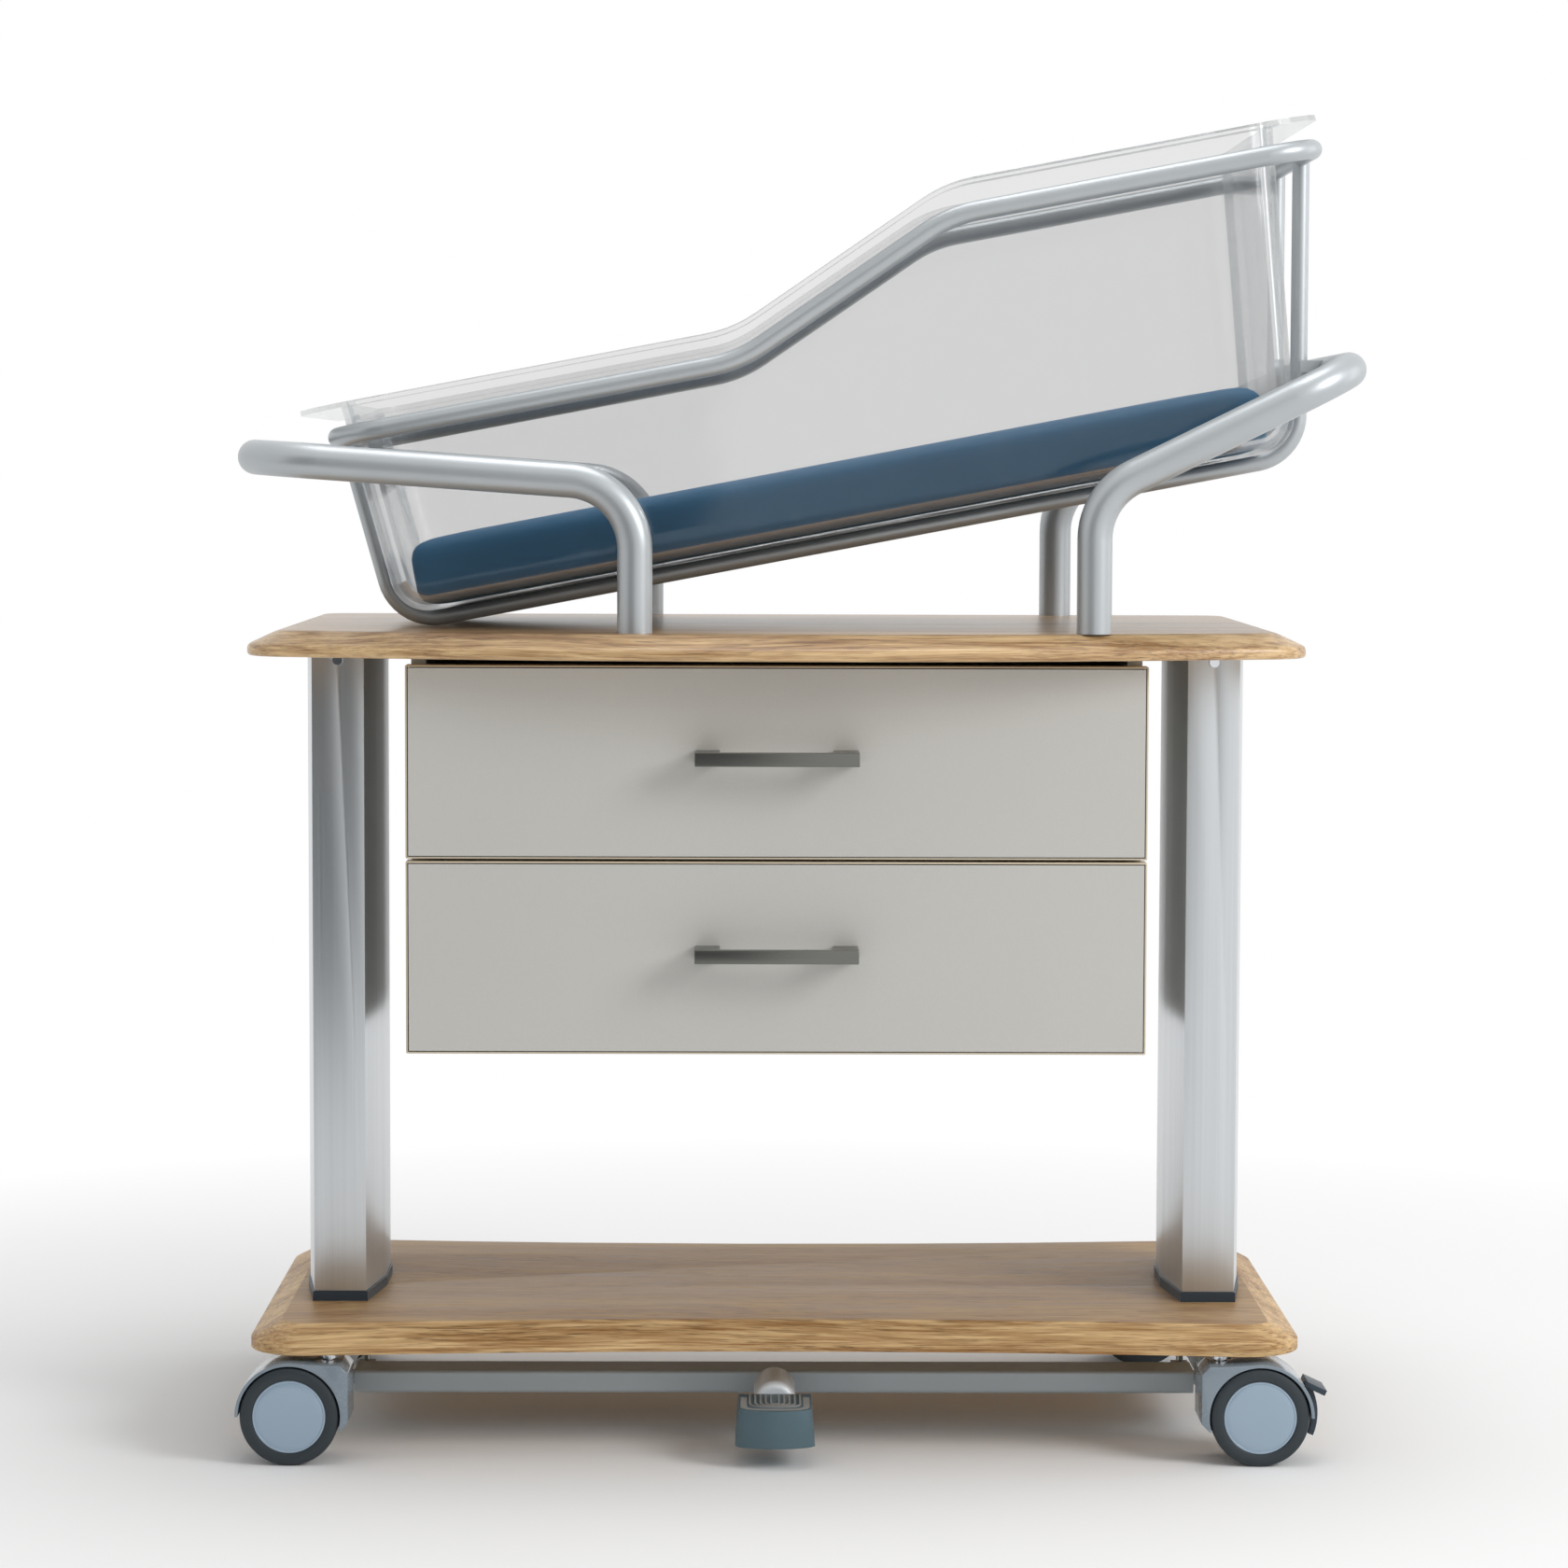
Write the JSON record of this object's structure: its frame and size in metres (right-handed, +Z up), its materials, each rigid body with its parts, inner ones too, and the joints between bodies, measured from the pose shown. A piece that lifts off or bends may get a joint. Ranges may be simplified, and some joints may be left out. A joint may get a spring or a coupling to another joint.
{
  "type": "hospital bassinet trolley",
  "caption": "Hospital bassinet: a clear basin with mattress tilts in a tube frame on a wheeled, height-adjustable table with two drawers and push handles.",
  "frame": {"origin": "centre of the bounding box, on the floor", "axes": "+Z up, +X towards the raised head end, -Y towards the drawer fronts"},
  "size_m": [0.9098, 0.535, 1.0883],
  "materials": {
    "oak_board": "oak-look board",
    "column_aluminium": "satin extrusion",
    "dark_plastic": "matt",
    "satin_tube": "satin tube",
    "bright_steel": "bright plated",
    "grey_paint": "grey paint",
    "drawer_board": "pale grey laminate",
    "pull_aluminium": "satin",
    "hood_plastic": "pale blue-grey",
    "tyre_rubber": "black",
    "pad_rubber": "blue-grey",
    "clear_acrylic": "clear",
    "mattress_cover": "wipe-clean cover"
  },
  "bodies": {
    "base": {"base_board": "oak_board", "side_tubes": "grey_paint", "inner_column_left": "column_aluminium", "inner_column_right": "column_aluminium", "column_collars": "dark_plastic", "gas_cylinders": "grey_paint", "castor_stems": "bright_steel", "base_bolts": "bright_steel", "pedal_bearings": "grey_paint"},
    "lift": {"table_top": "oak_board", "outer_column_left": "column_aluminium", "outer_column_right": "column_aluminium", "top_brackets": "grey_paint", "column_screws": "bright_steel", "gas_rods": "bright_steel", "handle_left": "satin_tube", "handle_right": "satin_tube", "handle_plugs": "satin_tube", "drawer_carcass": "drawer_board", "fixed_drawer_rails": "grey_paint", "tilt_brackets": "satin_tube"},
    "upper_drawer": {"upper_drawer_front": "drawer_board", "upper_drawer_box": "drawer_board", "upper_drawer_pull": "pull_aluminium", "upper_drawer_rails": "grey_paint"},
    "lower_drawer": {"lower_drawer_front": "drawer_board", "lower_drawer_box": "drawer_board", "lower_drawer_pull": "pull_aluminium", "lower_drawer_rails": "grey_paint"},
    "basket": {"basket_ring": "satin_tube", "basket_runner_near": "satin_tube", "basket_runner_far": "satin_tube"},
    "basin": {"basin": "clear_acrylic"},
    "mattress": {"mattress": "mattress_cover"},
    "pedal": {"release_bar": "grey_paint", "pedal_lever": "satin_tube", "pedal_pad": "pad_rubber"},
    "release_pins": {"release_pins": "bright_steel"},
    "castor_front_left": {"castor_hood_front_left": "hood_plastic", "castor_axle_front_left": "bright_steel"},
    "wheel_front_left_near": {"castor_wheel_front_left_near": "tyre_rubber"},
    "wheel_front_left_far": {"castor_wheel_front_left_far": "tyre_rubber"},
    "castor_front_right": {"castor_hood_front_right": "hood_plastic", "castor_axle_front_right": "bright_steel"},
    "wheel_front_right_near": {"castor_wheel_front_right_near": "tyre_rubber"},
    "wheel_front_right_far": {"castor_wheel_front_right_far": "tyre_rubber"},
    "brake_front_right": {"brake_lever_front_right": "dark_plastic"},
    "castor_rear_left": {"castor_hood_rear_left": "hood_plastic", "castor_axle_rear_left": "bright_steel"},
    "wheel_rear_left_near": {"castor_wheel_rear_left_near": "tyre_rubber"},
    "wheel_rear_left_far": {"castor_wheel_rear_left_far": "tyre_rubber"},
    "castor_rear_right": {"castor_hood_rear_right": "hood_plastic", "castor_axle_rear_right": "bright_steel"},
    "wheel_rear_right_near": {"castor_wheel_rear_right_near": "tyre_rubber"},
    "wheel_rear_right_far": {"castor_wheel_rear_right_far": "tyre_rubber"},
    "brake_rear_right": {"brake_lever_rear_right": "dark_plastic"}
  },
  "joints": [
    {"name": "height", "type": "slide", "parent": "base", "child": "lift", "axis": [0, 0, 1], "range_m": [0, 0.2]},
    {"name": "upper_drawer_slide", "type": "slide", "parent": "lift", "child": "upper_drawer", "axis": [0, -1, 0], "range_m": [0, 0.3]},
    {"name": "lower_drawer_slide", "type": "slide", "parent": "lift", "child": "lower_drawer", "axis": [0, -1, 0], "range_m": [0, 0.3]},
    {"name": "basket_tilt", "type": "hinge", "parent": "lift", "child": "basket", "pos_m": [-0.31302, 0.0125, 0.9601], "axis": [0, 1, 0], "range_deg": [0, 10.8]},
    {"name": "basin_lift_out", "type": "slide", "parent": "basket", "child": "basin", "axis": [-0.1874, 0, 0.9823], "range_m": [0, 0.3]},
    {"name": "mattress_lift_out", "type": "slide", "parent": "basin", "child": "mattress", "axis": [-0.1874, 0, 0.9823], "range_m": [0, 0.3]},
    {"name": "pedal_press", "type": "hinge", "parent": "base", "child": "pedal", "pos_m": [-0.0191, -0.0815, 0.046], "axis": [1, 0, 0], "range_deg": [0, 5], "stiffness_Nm_per_rad": 12, "springref_deg": -11.46},
    {"name": "pin_lift", "type": "slide", "parent": "base", "child": "release_pins", "axis": [0, 0, 1], "range_m": [0, 0.0062]},
    {"name": "castor_front_left_swivel", "type": "hinge", "parent": "base", "child": "castor_front_left", "pos_m": [-0.3811, -0.1835, 0.0885], "axis": [0, 0, 1], "continuous": true},
    {"name": "wheel_front_left_near_roll", "type": "hinge", "parent": "castor_front_left", "child": "wheel_front_left_near", "pos_m": [-0.4111, -0.1835, 0.04], "axis": [0, 1, 0], "continuous": true},
    {"name": "wheel_front_left_far_roll", "type": "hinge", "parent": "castor_front_left", "child": "wheel_front_left_far", "pos_m": [-0.4111, -0.1835, 0.04], "axis": [0, 1, 0], "continuous": true},
    {"name": "castor_front_right_swivel", "type": "hinge", "parent": "base", "child": "castor_front_right", "pos_m": [0.3429, -0.1835, 0.0885], "axis": [0, 0, 1], "continuous": true},
    {"name": "wheel_front_right_near_roll", "type": "hinge", "parent": "castor_front_right", "child": "wheel_front_right_near", "pos_m": [0.3729, -0.1835, 0.04], "axis": [0, 1, 0], "continuous": true},
    {"name": "wheel_front_right_far_roll", "type": "hinge", "parent": "castor_front_right", "child": "wheel_front_right_far", "pos_m": [0.3729, -0.1835, 0.04], "axis": [0, 1, 0], "continuous": true},
    {"name": "brake_front_right", "type": "hinge", "parent": "castor_front_right", "child": "brake_front_right", "pos_m": [0.41925, -0.1835, 0.04], "axis": [0, 1, 0], "range_deg": [0, 10]},
    {"name": "castor_rear_left_swivel", "type": "hinge", "parent": "base", "child": "castor_rear_left", "pos_m": [-0.3811, 0.2085, 0.0885], "axis": [0, 0, 1], "continuous": true},
    {"name": "wheel_rear_left_near_roll", "type": "hinge", "parent": "castor_rear_left", "child": "wheel_rear_left_near", "pos_m": [-0.4111, 0.2085, 0.04], "axis": [0, 1, 0], "continuous": true},
    {"name": "wheel_rear_left_far_roll", "type": "hinge", "parent": "castor_rear_left", "child": "wheel_rear_left_far", "pos_m": [-0.4111, 0.2085, 0.04], "axis": [0, 1, 0], "continuous": true},
    {"name": "castor_rear_right_swivel", "type": "hinge", "parent": "base", "child": "castor_rear_right", "pos_m": [0.3429, 0.2085, 0.0885], "axis": [0, 0, 1], "continuous": true},
    {"name": "wheel_rear_right_near_roll", "type": "hinge", "parent": "castor_rear_right", "child": "wheel_rear_right_near", "pos_m": [0.3129, 0.2085, 0.04], "axis": [0, 1, 0], "continuous": true},
    {"name": "wheel_rear_right_far_roll", "type": "hinge", "parent": "castor_rear_right", "child": "wheel_rear_right_far", "pos_m": [0.3129, 0.2085, 0.04], "axis": [0, 1, 0], "continuous": true},
    {"name": "brake_rear_right", "type": "hinge", "parent": "castor_rear_right", "child": "brake_rear_right", "pos_m": [0.26655, 0.2085, 0.04], "axis": [0, -1, 0], "range_deg": [0, 10]}
  ],
  "couplings": [
    {"joint": "pin_lift", "follows": "pedal_press", "m_per_rad": 0.069}
  ]
}
